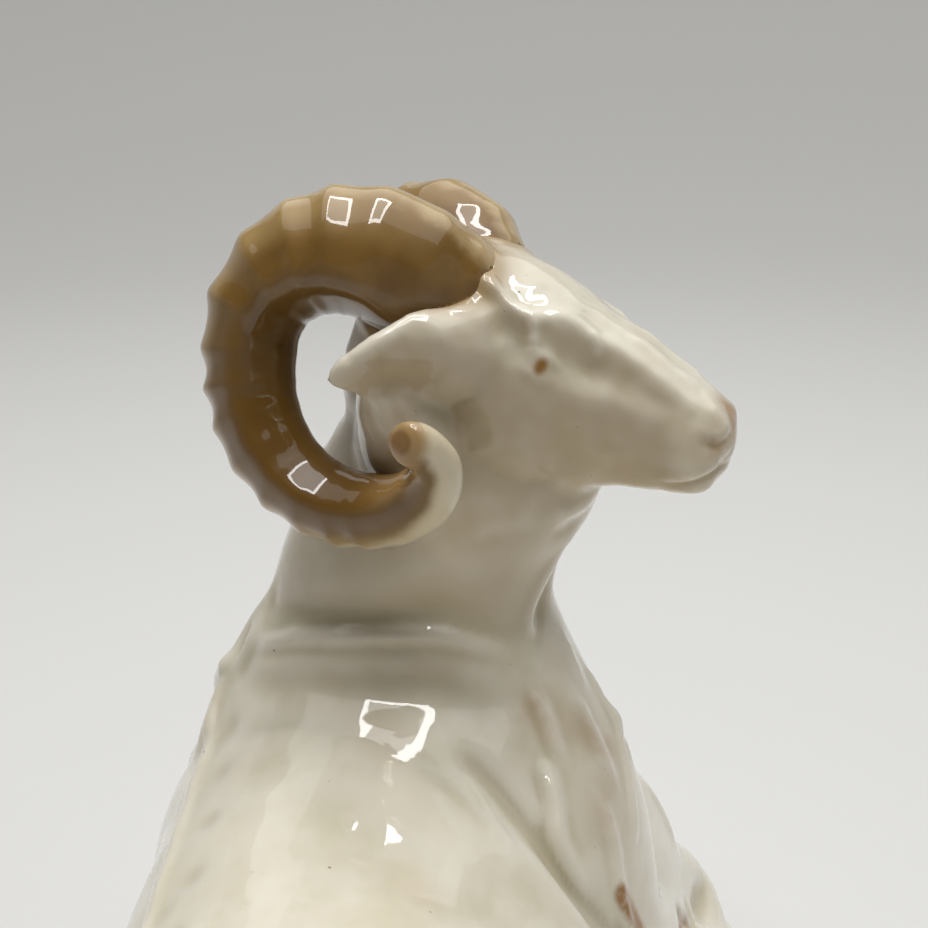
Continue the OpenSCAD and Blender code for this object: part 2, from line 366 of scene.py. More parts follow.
# %% Wiping the joints
LUTE = 7.0
joints = skin.vertex_groups.new(name="joints")
weight = np.clip(1 - second_nearest / LUTE, 0, 1)
for level_of in range(1, 11):
    members = np.flatnonzero(np.ceil(weight * 10) == level_of)
    joints.add(members.tolist(), level_of / 10, "REPLACE")
modifier(skin, "SMOOTH", factor=0.5, iterations=30, vertex_group="joints")
modifier(skin, "SMOOTH", factor=0.5, iterations=3)
print("wiped", int((weight > 0).sum()), "points at the joints")

# %% [markdown]
# ## The flat underside
#
# The figurine stands on a flat, ground foot. The skin is cut off at the table.

# %% Grinding the foot flat
only(skin)
bpy.ops.object.mode_set(mode="EDIT")
bpy.ops.mesh.select_all(action="SELECT")
bpy.ops.mesh.bisect(plane_co=(0, 0, 0), plane_no=(0, 0, 1), use_fill=True, clear_inner=True)
bpy.ops.mesh.select_all(action="DESELECT")
bpy.ops.object.mode_set(mode="OBJECT")

# %% [markdown]
# ## Finer clay where the details are
#
# The face needs a finer skin than the trunk. The faces of the head and ears, and those
# along the spine, are subdivided once, down to about 0.4 mm.

# %% Subdividing the head and the spine
spine = [
    (39, 34, 113), (38.5, 37.5, 106), (37, 41.5, 98), (32, 43, 91.5), (24, 43, 87),
    (14, 41.5, 84.5), (0, 38.5, 83), (-20, 34.5, 81), (-44, 31.5, 79), (-66, 29.5, 75),
    (-84, 25, 66), (-93, 20, 55)]


def smooth_line(points, count=60):
    return np.array([along(points, place) for place in places(points, count)])


def distance_to_line(points, line):
    """Distance of every point from a polyline, and how far along it that is, 0 to 1."""
    nearest = np.full(len(points), 1e9)
    share = np.zeros(len(points))
    for i, (a, b) in enumerate(zip(line, line[1:])):
        span = b - a
        t = np.clip((points - a) @ span / max(span @ span, 1e-9), 0, 1)
        gap = np.linalg.norm(points - a - t[:, None] * span, axis=1)
        closer = gap < nearest
        nearest[closer] = gap[closer]
        share[closer] = (i + t[closer]) / (len(line) - 1)
    return nearest, share


def lay_on_skin(line, tree):
    """The line brought onto the skin's surface."""
    return np.array([tree.find_nearest(p)[0] for p in line])


skin_tree = tree_of(skin)
spine_line = lay_on_skin(smooth_line(spine), skin_tree)
points = points_of(skin)
rows = distances(points)
on_the_head = np.minimum.reduce([rows["head_shell"], rows["ear_right"], rows["ear_left"]]) < 0.7
in_front = points[:, 2] > 120
along_spine = distance_to_line(points, spine_line)[0] < 2.5
fine = (on_the_head & in_front) | along_spine
only(skin)
bpy.ops.object.mode_set(mode="EDIT")
bpy.ops.mesh.select_mode(type="FACE")
clay = bmesh.from_edit_mesh(skin.data)
for face in clay.faces:
    face.select_set(all(fine[v.index] for v in face.verts))
clay.select_flush_mode()
bpy.ops.mesh.subdivide(number_cuts=1, smoothness=1.0)
bpy.ops.mesh.select_all(action="DESELECT")
bpy.ops.object.mode_set(mode="OBJECT")
print("finer skin:", len(skin.data.polygons), "faces")

# %% [markdown]
# ## Sculptor's strokes
#
# On the real model the details are drawn with a wooden tool in the damp clay. A stroke here
# is a line of a few places with a height and a width in millimetres. It raises a soft ridge
# along the line, or presses a groove where the height is negative, and dies out at its ends.
# A dab does the same round one place. They move the points of the skin along its normals, as
# a sculpting brush does, and because they are numbers they can be corrected one by one.

# %% A stroke and a dab
def stroke(points, line, height, width, fade=0.25):
    low, high = line.min(0) - 3 * width, line.max(0) + 3 * width
    near = np.flatnonzero(np.all((points > low) & (points < high), axis=1))
    lift = np.zeros(len(points))
    gap, share = distance_to_line(points[near], line)
    length = np.linalg.norm(np.diff(line, axis=0), axis=1).sum()
    kept_at_end = min(1, 2.5 * width / length)
    ends = np.clip(np.minimum(share, 1 - share) / fade, 0, 1)
    strength = kept_at_end + (1 - kept_at_end) * ends * ends * (3 - 2 * ends)
    lift[near] = height * np.exp(-(gap / width) ** 2) * strength
    return lift


def dab(points, middle, height, width):
    return height * np.exp(-(np.linalg.norm(points - middle, axis=1) / width) ** 2)


def model_into(obj, body=(), head=()):
    """Applies strokes and dabs; those of the head are given on its right and mirrored."""
    points, normals, tree = points_of(obj), normals_of(obj), tree_of(obj)
    lift = np.zeros(len(points))
    marks = [(height, width, [np.array(p, float) for p in where]) for height, width, where in body]
    for height, width, where in head:
        for side in (-1, 1):
            marks.append((height, width, [on_head(*p, side=side) for p in where]))
    for height, width, where in marks:
        if len(where) == 1:
            lift += dab(points, np.array(tree.find_nearest(where[0])[0]), height, width)
        else:
            line = lay_on_skin(smooth_line(where, 8 * len(where)), tree)
            lift += stroke(points, line, height, width)
    move_points(obj, points + normals * lift[:, None])
    return len(marks)


# %% [markdown]
# ## Large folds first
#
# As in clay, the large folds come before the small ones: the collar where the neck meets the
# shoulders, the hollow of the throat, the shoulder blade, the haunch and the hollow flank.

# %% Folds and hollows of the body
collar = [(35, 37, 99), (29.6, 34.7, 101), (26, 29, 104), (24.6, 20, 105.6), (25, 12, 106.6),
          (26.3, 4.6, 106.6), (28.6, -1.4, 104.4), (32.5, -5.6, 101.4)]
above_collar = [(36, 36, 103.5), (31, 31, 106.4), (27.5, 20.7, 108.6), (27, 12.4, 109.8),
                (28.2, 5, 109.8), (31, -1.2, 107.4), (35.9, -5.4, 104)]
shoulder_fold = [(20, 3, 93), (17.6, -4, 88.6), (15.8, -9, 84.4), (14.4, -13.4, 79.8),
                 (14, -17.6, 73.6), (15.6, -22, 66), (18, -26, 57)]
behind_fold = [(15, 0, 90), (12.6, -6.4, 86.4), (10.6, -11.6, 81), (9.6, -17, 73), (10, -22, 64)]

large_folds = [
    (1.5, 1.6, collar),
    (1.0, 2.8, [(x - 1.5, y, z - 3.4) for x, y, z in collar]),
    (-0.4, 2.4, above_collar),
    (1.3, 6.0, [(21, 33, 90), (18, 22, 94), (16.6, 12, 93.4), (18, 4, 92), (21, -3, 90)]),
    (0.8, 4.5, [(29, 28, 113), (28, 17, 116), (29, 6, 117), (33, -4, 114)]),
    (-1.3, 2.0, shoulder_fold),
    (0.9, 3.4, behind_fold),
    # the throat, and the strap of muscle beside it
    (0.7, 1.6, [(36.4, -11.9, 123.8), (39, -14.2, 124), (42.4, -15.9, 124.8)]),
    (-0.9, 2.4, [(38, -12, 120.6), (42, -14.4, 121.4), (46, -15.4, 121.8)]),
    (-1.3, 2.6, [(46.6, -12.6, 117), (45.4, -12, 112), (42.7, -9.6, 106.7), (39, -7.6, 102.5)]),
    (0.8, 2.0, [(42, -12.6, 116), (40.4, -11, 111), (38, -9, 106), (36, -8, 102)]),
    (-1.4, 4.5, [(74, 4, 112), (71, 0, 103), (70, -4, 95)]),
    # neck muscles on the far side
    (1.1, 4.0, [(56, 32, 128), (64, 28, 115), (72, 20, 102)]),
    (-1.0, 4.0, [(50, 32, 118), (60, 32, 106), (68, 28, 96)]),
    # shoulder blade
    (1.2, 8.0, [(18, 22, 92), (10, 4, 84), (10, -14, 68)]),
    (-1.2, 7.0, [(-4, 18, 86), (-6, 0, 80), (-4, -16, 68)]),
    # haunch: the swelling, and the fold in front of it
    (1.5, 9.0, [(-74, 14, 74), (-58, -2, 76), (-44, -18, 66)]),
    (-1.8, 5.0, [(-40, 12, 80), (-28, -6, 74), (-18, -24, 56), (-12, -36, 36)]),
    (-1.6, 8.0, [(-14, -20, 62), (-4, -26, 48)]),
    (-1.2, 6.0, [(-84, -8, 62), (-76, -26, 48), (-70, -38, 32)]),
    # the left side
    (1.3, 8.0, [(34, 45, 76), (26, 47, 60), (30, 46, 44)]),
    (-1.3, 6.0, [(12, 45, 72), (6, 48, 56), (10, 46, 38)]),
    (1.5, 9.0, [(-56, 37, 70), (-50, 42, 52), (-56, 41, 36)]),
    (-1.4, 6.0, [(-30, 40, 72), (-26, 46, 54), (-32, 44, 36)]),
]
print("large folds:", model_into(skin, body=large_folds))

# %% [markdown]
# ## The face
#
# A ram's face is a wedge with a flat bridge. The brow is a shelf that starts at the horn and
# overhangs the eye; in front of the eye is the hollow of the tear gland; the cheek is full
# and the lips are pursed. Every line is given once, for the right side, and mirrored.

# %% Planes of the face
face_planes = [
    (-1.1, 2.9, [(21.4, 11.2, 11.2), (24.2, 10.6, 10.2)]),
    (-0.7, 3.4, [(28, 9.8, 9), (34, 8.4, 7.8), (39, 7.2, 7)]),
    (0.9, 1.9, [(14.5, 15.6, 11.3), (18.4, 16.1, 9.6), (22.8, 15.4, 8.3), (27, 13.8, 7.2),
                (33, 11.8, 6.2), (41.5, 8.4, 6)]),
    (0.6, 2.6, [(21.6, 7, 12), (27.5, 6.6, 10.1), (33.4, 6.2, 8.5), (40, 6.4, 7.2)]),
    (-1.1, 3.4, [(4.5, 13.4, 17.5), (8, 13, 16.2), (11, 12, 15)]),
    (0.6, 5.0, [(12, -4, 14.6), (18, -6.5, 13)]),
    (-0.6, 3.4, [(24, -2, 11), (29, -4, 9.4), (34, -4.4, 8)]),
    (0.7, 2.6, [(41, 0.6, 7.2)]),
]
print("face planes:", model_into(skin, head=face_planes))

# %% Brow, eye, nose and mouth
face_lines = [
    # brow: from the horn down to the corner above the eye, with a branch down to the eyelid
    (1.1, 1.3, [(5, 18.4, 9.5), (8.6, 17.4, 10.6), (11.4, 16.2, 11.6), (14.5, 15.4, 11.3),
                (17, 15.4, 10.4)]),
    (0.8, 0.9, [(14.8, 15.2, 11.6), (15.9, 13.8, 12.6), (16.5, 12, 13.1)]),
    (0.4, 0.9, [(23.6, 15, 8.2), (24.6, 14, 8.5), (25, 13, 8.8)]),
    (0.5, 1.6, [(27, 15.6, 3), (33, 13.2, 2.6), (40, 10.2, 2.4)]),
    (-0.5, 1.8, [(11, 13.6, 13.4), (13.6, 12.6, 13.6), (15, 10.6, 13.8)]),
    # the ball of the eye and its lids
    (0.5, 1.9, [(18.6, 9.7, 13.2)]),
    (0.22, 0.8, [(15.8, 9.8, 13.7), (17.6, 11.2, 13.2), (20.2, 10.8, 12.2), (21.4, 9.6, 11.8)]),
    (0.18, 0.8, [(16, 8.6, 13.8), (18.4, 7.6, 13.4), (20.6, 8, 12.4)]),
    # nose: wing, nostril, and the groove below it
    (0.5, 1.6, [(42.6, 8.4, 4), (44.6, 7, 4.2), (44.6, 5.4, 5)]),
    (-0.7, 0.9, [(45.4, 5.8, 3.8), (44.6, 4.9, 5.6), (43.2, 4.8, 6.4)]),
    (-0.3, 0.8, [(46.4, 3.8, 1.2), (45.9, 2.6, 3.4), (44.4, 2.4, 5)]),
    # mouth, with a lip over and under it
    (-0.6, 0.7, [(46.6, 1.6, 0.6), (46, 1.2, 3.6), (44.7, -0.4, 5.6), (42.4, -2, 6.2),
                 (39.6, -3.1, 6.2)]),
    (0.4, 1.2, [(45.4, 2.8, 4.2), (43.6, 1.4, 6.2), (40.6, 0, 7)]),
    (0.3, 1.1, [(45, -2.0, 3.6), (42.6, -3.6, 5)]),
    # ear: the fold of its upper edge, and the two hollows of the shell
    (0.7, 1.3, [(-4.9, 4.6, 26.2), (-2.6, 7.6, 24.2), (0.2, 10.4, 21.6), (3, 12.6, 17.6),
                (5.4, 14.6, 13.6)]),
    (-0.7, 2.6, [(-2, 3.6, 24.4), (1, 4.6, 22), (4.4, 4.6, 19.4)]),
    (0.45, 1.6, [(-5, 0.6, 25.4), (-1.4, 0, 22.4), (2.4, -0.4, 19)]),
]
print("face lines:", model_into(skin, head=face_lines))

# %% [markdown]
# ## The chest, the feet and the spine
#
# The hair of the chest is a few long shallow locks, each a ridge with a groove below it. The
# ones beside the shoulder are placed one by one, and the front of the chest is filled with
# more of the same. A cord runs along the spine, with a dimple beside every vertebra. Each
# foot is cloven by one groove, with another round the top of the hoof.

# %% Locks of the chest
locks = [
    [(32.4, -9.2, 95.9), (29.6, -11.8, 91.6), (26.5, -14.2, 87.5)],
    [(25.5, -12, 88.7), (20.8, -13.9, 84), (16.3, -15.9, 78.6), (14.8, -20.8, 70.1)],
    [(45.8, -11.9, 98.4), (44.2, -13.9, 94.8), (42, -15.9, 91.6)],
    [(51.2, -17.4, 87), (40.3, -23, 80.6), (27.6, -26.2, 70.7)],
    [(27.1, -20.5, 81), (23.5, -23, 74.8), (20.3, -24.8, 68.4), (19, -27, 60)],
    [(38, -14, 92), (35.5, -17.5, 86), (31.5, -20.5, 79)],
    [(49, -14, 92), (46.5, -18.5, 85), (44, -22, 76)],
]
CHEST_MIDDLE = np.array([48.0, 8.0])
placed = len(locks)
for row in range(4):
    for step in range(8):
        odd = math.sin(5.1 * row + 3.7 * step)
        turn = math.radians(-60 + 24 * step + 12 * (row % 2) + 4 * odd)
        out = 34 + 6 * row
        top = 101 - 15 * row - 4 * math.cos(2.3 * step)
        lock = []
        for drop, swing in ((0, 0), (0.25, 2.4), (0.5, 1.6), (0.75, -1.8), (1, -3.0)):
            angle = turn + swing * (1 + 0.4 * odd) / out
            lock.append((CHEST_MIDDLE[0] + out * math.cos(angle),
                         CHEST_MIDDLE[1] + out * math.sin(angle), top - (21 + 4 * odd) * drop))
        locks.append(lock)
chest = [(1.1, 1.5, lock) for lock in locks[:placed]]
chest += [(0.85 + 0.25 * math.sin(2.1 * i), 1.9, lock) for i, lock in enumerate(locks[placed:])]
chest += [(-0.6, 1.4, [(x, y + 2.2, z - 2.2) for x, y, z in lock]) for lock in locks]
print("locks and grooves:", model_into(skin, body=chest))

# %% The spine
def evenly(line, pitch):
    """Places along a line, a pitch apart."""
    run = np.append(0, np.cumsum(np.linalg.norm(np.diff(line, axis=0), axis=1)))
    marks = np.arange(pitch, run[-1], pitch)
    return np.array([[np.interp(m, run, line[:, k]) for k in range(3)] for m in marks])


VERTEBRA_PITCH = 11.5
TO_THE_RIGHT = np.array([0, -6.4, 1.0])  # from the cord to the dimple beside it
vertebrae = evenly(spine_line, VERTEBRA_PITCH)
back = [(0.8, 1.5, [tuple(p) for p in spine_line[::4]])]
back += [(-0.4, 2.4, [tuple(p + TO_THE_RIGHT)]) for p in vertebrae]
back += [(0.3, 3.4, [tuple(p - TO_THE_RIGHT * 0.4)]) for p in vertebrae]
print("spine strokes:", model_into(skin, body=back))

# %% Hooves
hoof_places, feet_marks = {}, []
for name in ("foreleg_right", "foreleg_left", "hind_leg_right", "hind_leg_left"):
    path = np.array([p[:3] for p in limb_paths[name]], float)
    toe, hoof, fetlock = path[-1], path[-3], path[-4]
    way = (toe - hoof) / np.linalg.norm(toe - hoof)
    side_of_leg = np.cross(way, upright)
    side_of_leg /= np.linalg.norm(side_of_leg)
    top_of_leg = np.cross(side_of_leg, way)
    hoof_places[name] = (hoof, way)
    cleft = [hoof + way * run + top_of_leg * 6 for run in (-1, 3, 7, 10)]
    cleft.append(toe + way * 2)
    feet_marks.append((-1.1, 1.1, [tuple(p) for p in cleft]))
    around = [hoof - way * 2 + 7 * (math.cos(a) * side_of_leg + math.sin(a) * top_of_leg)
              for a in np.linspace(-0.6, math.pi + 0.6, 7)]
    feet_marks.append((-0.5, 1.0, [tuple(p) for p in around]))
    feet_marks.append((0.7, 2.2, [tuple(p - way * 3.5) for p in around]))
    feet_marks.append((0.5, 2.5, [tuple(fetlock - top_of_leg * 5)]))
print("foot strokes:", model_into(skin, body=feet_marks))

# %% [markdown]
# ## The hand of the maker
#
# Slip-cast porcelain is never quite even: wet sponging leaves soft waves of a third of a
# millimetre, and thumbs leave smaller facets on the head. Both break up the highlights in
# the glaze. A Displace modifier with a cloud texture gives each of them.

# %% Sponged waves
waves = bpy.data.textures.new("sponged waves", "CLOUDS")
waves.noise_scale = 15
waves.noise_depth = 1
modifier(skin, "DISPLACE", texture=waves, strength=0.6, mid_level=0.5, texture_coords="LOCAL")
facets = bpy.data.textures.new("thumbed facets", "CLOUDS")
facets.noise_scale = 5.5
facets.noise_depth = 1
of_head = skin.vertex_groups.new(name="of head")
head_points = np.flatnonzero(points_of(skin)[:, 2] > 122)
of_head.add(head_points.tolist(), 1.0, "REPLACE")
modifier(skin, "DISPLACE", texture=facets, strength=0.6, mid_level=0.5, texture_coords="LOCAL",
         vertex_group="of head")
modifier(skin, "SMOOTH", factor=0.5, iterations=2)

only(skin)
bpy.ops.object.mode_set(mode="EDIT")
bpy.ops.mesh.select_all(action="SELECT")
bpy.ops.mesh.bisect(plane_co=(0, 0, 0), plane_no=(0, 0, 1), use_fill=True, clear_inner=True)
bpy.ops.mesh.select_all(action="SELECT")
bpy.ops.mesh.bisect(plane_co=(0, 0, 4), plane_no=(0, 0, 1))
bpy.ops.mesh.select_all(action="DESELECT")
bpy.ops.object.mode_set(mode="OBJECT")
print("skin from", points_of(skin).min(0).round(1), "to", points_of(skin).max(0).round(1))

# %% [markdown]
# ## Where the colours and the glaze lie
#
# The decorator sprays brown round the horn roots, dots the eyes and the hooves, and breathes
# a rose tint on the nose, the chest and the dimples of the spine. A painted shade darkens and
# warms the steep sides of the head and neck. The clear glaze is thicker and greener in hollows.
# Each of these is a number from 0 to 1 at every point of the skin, for the material to read.

# %% Attributes on the skin
def keep_attribute(obj, name, values, kind="FLOAT", field="value"):
    layer = obj.data.attributes.new(name, kind, "POINT")
    layer.data.foreach_set(field, np.ascontiguousarray(values, float).ravel())


def neighbour_mean(obj, values, times):
    """Averages values over each point's neighbours, several times."""
    ends = np.empty(len(obj.data.edges) * 2, int)
    obj.data.edges.foreach_get("vertices", ends)
    a, b = ends[::2], ends[1::2]
    count = np.bincount(ends, minlength=len(values))
    for _ in range(times):
        total = (np.bincount(a, values[b], len(values)) + np.bincount(b, values[a], len(values)))
        values = 0.5 * values + 0.5 * total / count
    return values


points, normals = points_of(skin), normals_of(skin)
smoothed = np.stack([neighbour_mean(skin, points[:, k], 12) for k in range(3)], axis=1)
hollow = neighbour_mean(skin, np.einsum("ij,ij->i", smoothed - points, normals), 4)
keep_attribute(skin, "pooled_glaze", np.clip(hollow / 0.12, 0, 1))
keep_attribute(skin, "thin_glaze", np.clip(-hollow / 0.16, 0, 1))

# painted shade: steep sides are darkened and warmed, most strongly high on the head and neck
steep = np.clip(1 - 1.5 * np.maximum(normals[:, 2], 0), 0, 1)
raised = np.clip((points[:, 2] - 92) / 18, 0, 1)
keep_attribute(skin, "warm_wash", neighbour_mean(skin, steep, 6) * (0.35 + 0.65 * raised))

sprayed_rose = np.zeros(len(points))
for where, width, strength in [((46, 8.4, 0.5), 3.4, 0.75), ((44.4, 4.8, 5.8), 1.5, 0.8)]:
    for side in (-1, 1):
        sprayed_rose += dab(points, on_head(*where, side=side), strength, width)
for where, width in [((30.6, -10.3, 93.5), 4.2), ((34.8, -17.8, 87.6), 4.4),
                     ((37.4, -20.4, 84.7), 2.6), ((27.1, -21, 79), 4.6), ((62, -14, 84), 5),
                     ((78, 6, 80), 5), ((74, 22, 86), 5), ((80, 16, 62), 5)]:
    sprayed_rose += dab(points, np.array(where), 0.4, width)
for place in vertebrae:
    sprayed_rose += dab(points, place + TO_THE_RIGHT, 0.22, 2.2)
keep_attribute(skin, "rose_tint", np.clip(sprayed_rose, 0, 1))

dotted = np.zeros(len(points))
for side in (-1, 1):
    eye = on_head(18.4, 9.5, 13.1, side)
    to_eye = points - eye
    across, upwards = to_eye @ face_fwd, to_eye @ face_up
    close = np.linalg.norm(to_eye, axis=1) < 5
    dotted += close * np.clip(1.7 - 1.25 * np.hypot(across / 0.85, upwards / 1.15), 0, 1)
for name, (hoof, way) in hoof_places.items():
    ahead_of_hoof = (points - hoof) @ way
    off_the_toe = distance_to_line(points, np.array([hoof, hoof + way * 9]))[0]
    dotted += 0.9 * np.clip((ahead_of_hoof + 1.5) / 3, 0, 1) * np.clip(8 - off_the_toe, 0, 1)
stain = np.array([(20.4, -25.4, 69.4), (21, -26.4, 66), (22.4, -27.8, 60)])
dotted += np.clip(2.2 - distance_to_line(points, stain)[0], 0, 1)
keep_attribute(skin, "brown_paint", np.clip(dotted, 0, 1))
print("points painted brown:", int((dotted > 0.1).sum()))

# %% [markdown]
# ## The horns
#
# Each horn grows from the crown, curls back, down and forward past the cheek, and ends in a
# small turned-out tip. Its section is a rounded triangle with one edge outside and a soft
# crest on the flank. Growth ridges cross it, 5 mm apart, strong outside and fading inside.
# The two are not quite alike: the left curl was set on turned further out from the head.

# %% Rings of a horn
# forward, up, outward, share of the way from root to tip radius
horn_stations = [
    (0, 12, 5, 0.02), (-4.5, 14.6, 8.5, 0), (-9.8, 16.1, 10.6, 0.03), (-15.6, 15.2, 12, 0.10),
    (-20.8, 12.1, 13.5, 0.22), (-24.3, 7.1, 15, 0.34), (-25, 1.5, 16.5, 0.43),
    (-23.6, -4.1, 18, 0.48), (-21, -9.3, 19.5, 0.52), (-16.6, -13.9, 21, 0.56),
    (-10.8, -17.1, 22, 0.61), (-4.2, -18, 23, 0.65), (1.6, -16.6, 24, 0.70),
    (7.1, -13.4, 25.5, 0.78), (11, -8.5, 27.5, 0.86), (12, -3.7, 30, 0.93),
    (10.6, -0.8, 32.4, 0.97), (8.9, 0.3, 34.6, 1.0), (8.2, 0.6, 36.2, 1.25)]
LEFT_HORN_TURN = math.radians(18)
LEFT_HORN_SIZE = 0.9
HORN_ROOT_RADIUS = 10.2
HORN_TIP_RADIUS = 3.6
RIDGE_PITCH = 5.3
RIDGE_HEIGHT = 0.9
CREST_HEIGHT = 0.8
ROUND_HORN = np.linspace(0, 2 * np.pi, 64, endpoint=False)


def on_horn(forward, up, outward, side):
    """A place on a horn; the left curl is turned out and a little smaller."""
    if side < 0:
        return on_head(forward, up, outward, side)
    c, s, out = math.cos(LEFT_HORN_TURN), math.sin(LEFT_HORN_TURN), outward - 5
    return on_head(LEFT_HORN_SIZE * (forward * c + out * s), 12 + LEFT_HORN_SIZE * (up - 12),
                   5 + LEFT_HORN_SIZE * (out * c - forward * s), side)


def horn_rings(side, count=250):
    """The rings of a horn, and how far along its curl each one lies, in mm."""
    steps = np.array([along(horn_stations, place) for place in places(horn_stations, count)])
    middles = np.array([on_horn(f, u, o, side) for f, u, o, _ in steps])
    ahead = np.gradient(middles, axis=0)
    run = np.append(0, np.cumsum(np.linalg.norm(np.diff(middles, axis=0), axis=1)))
    rings = []
    for middle, way, share, s in zip(middles, ahead, steps[:, 3], run):
        way = way / np.linalg.norm(way)
        outer = np.cross(face_left, way)
        outer /= np.linalg.norm(outer)
        away = side * np.cross(way, outer)
        radius = HORN_ROOT_RADIUS + (HORN_TIP_RADIUS - HORN_ROOT_RADIUS) * min(share, 1)
        if share > 1:
            radius *= math.sqrt(max(1 - ((share - 1) / 0.27) ** 2, 0.01))
        radius *= 1 - 0.18 * np.clip((s - run[-1] + 16) / 10, 0, 1)
        turned = (ROUND_HORN + np.pi) % (2 * np.pi) - np.pi

        def near_angle(degrees, width):
            gap = (turned - math.radians(degrees) + np.pi) % (2 * np.pi) - np.pi
            return np.exp(-(gap / math.radians(width)) ** 2)

        section = 1 + 0.035 * np.cos(3 * (ROUND_HORN - math.radians(110)))
        wave = s / RIDGE_PITCH + 0.13 * math.sin(s / 11) + 0.09 * math.sin(s / 4.1 + 1)
        flute = 0.42 - math.sqrt(math.cos(math.pi * wave) ** 2 + 0.07)
        strength = 1 + 0.25 * math.sin(s / 2.3) + 0.15 * math.sin(s / 5.9 + 2)
        outside = near_angle(26, 56) + 0.12
        lasting = np.clip(s / 12, 0, 1) * np.clip((run[-1] * 0.84 - s) / 30, 0, 1)
        crest = lasting * CREST_HEIGHT * (near_angle(104, 15) - 0.6 * near_angle(138, 22))
        reach = radius * section + crest + RIDGE_HEIGHT * flute * strength * outside * lasting
        rings.append(middle + reach[:, None] * (np.cos(ROUND_HORN)[:, None] * outer
                                                + np.sin(ROUND_HORN)[:, None] * away))
    return rings, run


def pull_horn(name, side):
    """Pulls a horn and gives its points what the horn's material reads."""
    rings, run = horn_rings(side)
    horn = pull_form(name, rings)
    modifier(horn, "SMOOTH", factor=0.5, iterations=1)
    nearest = KDTree(len(rings) * len(ROUND_HORN))
    for i, one_ring in enumerate(rings):
        for j, place in enumerate(one_ring):
            nearest.insert(place, i * len(ROUND_HORN) + j)
    nearest.balance()
    found = np.array([nearest.find(v.co)[1] for v in horn.data.vertices])
    from_end = np.linalg.norm(points_of(horn) - rings[-1].mean(axis=0), axis=1)
    keep_attribute(horn, "along_horn", run[found // len(ROUND_HORN)] / run[-1])
    keep_attribute(horn, "outer_edge", 0.5 + 0.5 * np.cos(ROUND_HORN[found % len(ROUND_HORN)]))
    keep_attribute(horn, "from_end", np.clip(from_end / 10, 0, 1))
    print(name, "is", round(run[-1]), "mm long round its curl")
    return horn


# %% Both horns
horn_right = pull_horn("glazed_horn_right", -1)
horn_left = pull_horn("glazed_horn_left", 1)

# %% Fitting the roots to the head
horn_trees = [tree_of(horn_right), tree_of(horn_left)]
points = points_of(skin)
gap = np.full(len(points), 50.0)
crown = np.flatnonzero(np.linalg.norm(points - on_head(-2, 14), axis=1) < 34)
for i in crown:
    gap[i] = min(tree.find_nearest(points[i])[3] for tree in horn_trees)
slip_at_root = 0.55 * np.exp(-(gap / 1.5) ** 2)
move_points(skin, points + normals_of(skin) * slip_at_root[:, None])
keep_attribute(skin, "overspray", np.exp(-(gap / 2.6) ** 1.3))
for horn in (horn_right, horn_left):
    modifier(horn, "BOOLEAN", operation="DIFFERENCE", object=skin, solver="MANIFOLD")
    print(horn.name, len(horn.data.polygons), "faces")

# %% [markdown]
# ## Parting the skin into its castings
#
# Every face belongs to the form it lies nearest to. The skin is separated there, and each
# casting is closed behind its seam. The seams of the real figurine are wiped away under the
# glaze, so each point keeps the normal it had on the whole skin, and no seam shows.

# %% Which casting each face belongs to
castings = list(forms) + ["underside_slab"]
head_number = castings.index("head_shell")
points = points_of(skin)
rows = distances(points)
even_rows = np.stack([neighbour_mean(skin, rows[name], 12) for name in forms])
keep_attribute(skin, "fair_normal", normals_of(skin), "FLOAT_VECTOR", "vector")
nearest_form = np.array([
    np.argmin(even_rows[:, list(face.vertices)].mean(axis=1)) for face in skin.data.polygons])
for web in ("web_right", "web_left"):
    nearest_form[nearest_form == castings.index(web)] = head_number
is_trunk = nearest_form == castings.index("trunk_shell")
low = np.array([face.center.z < 4 for face in skin.data.polygons])
nearest_form[is_trunk & low] = castings.index("underside_slab")
skin.data.materials.clear()
for name in castings:
    skin.data.materials.append(bpy.data.materials.new("part " + name))
skin.data.polygons.foreach_set("material_index", nearest_form)
only(skin)
bpy.ops.object.mode_set(mode="EDIT")
bpy.ops.mesh.select_all(action="SELECT")
bpy.ops.mesh.separate(type="MATERIAL")
bpy.ops.object.mode_set(mode="OBJECT")
pieces = {"horn_right": horn_right, "horn_left": horn_left}
for obj in list(bpy.context.selected_objects):
    name = obj.data.materials[obj.data.polygons[0].material_index].name[len("part "):]
    obj.name = obj.data.name = "glazed_" + name
    pieces[name] = obj
print("parted:", {name: len(obj.data.polygons) for name, obj in pieces.items()})

# %% Closing each casting behind its seam
WALL = 3.0


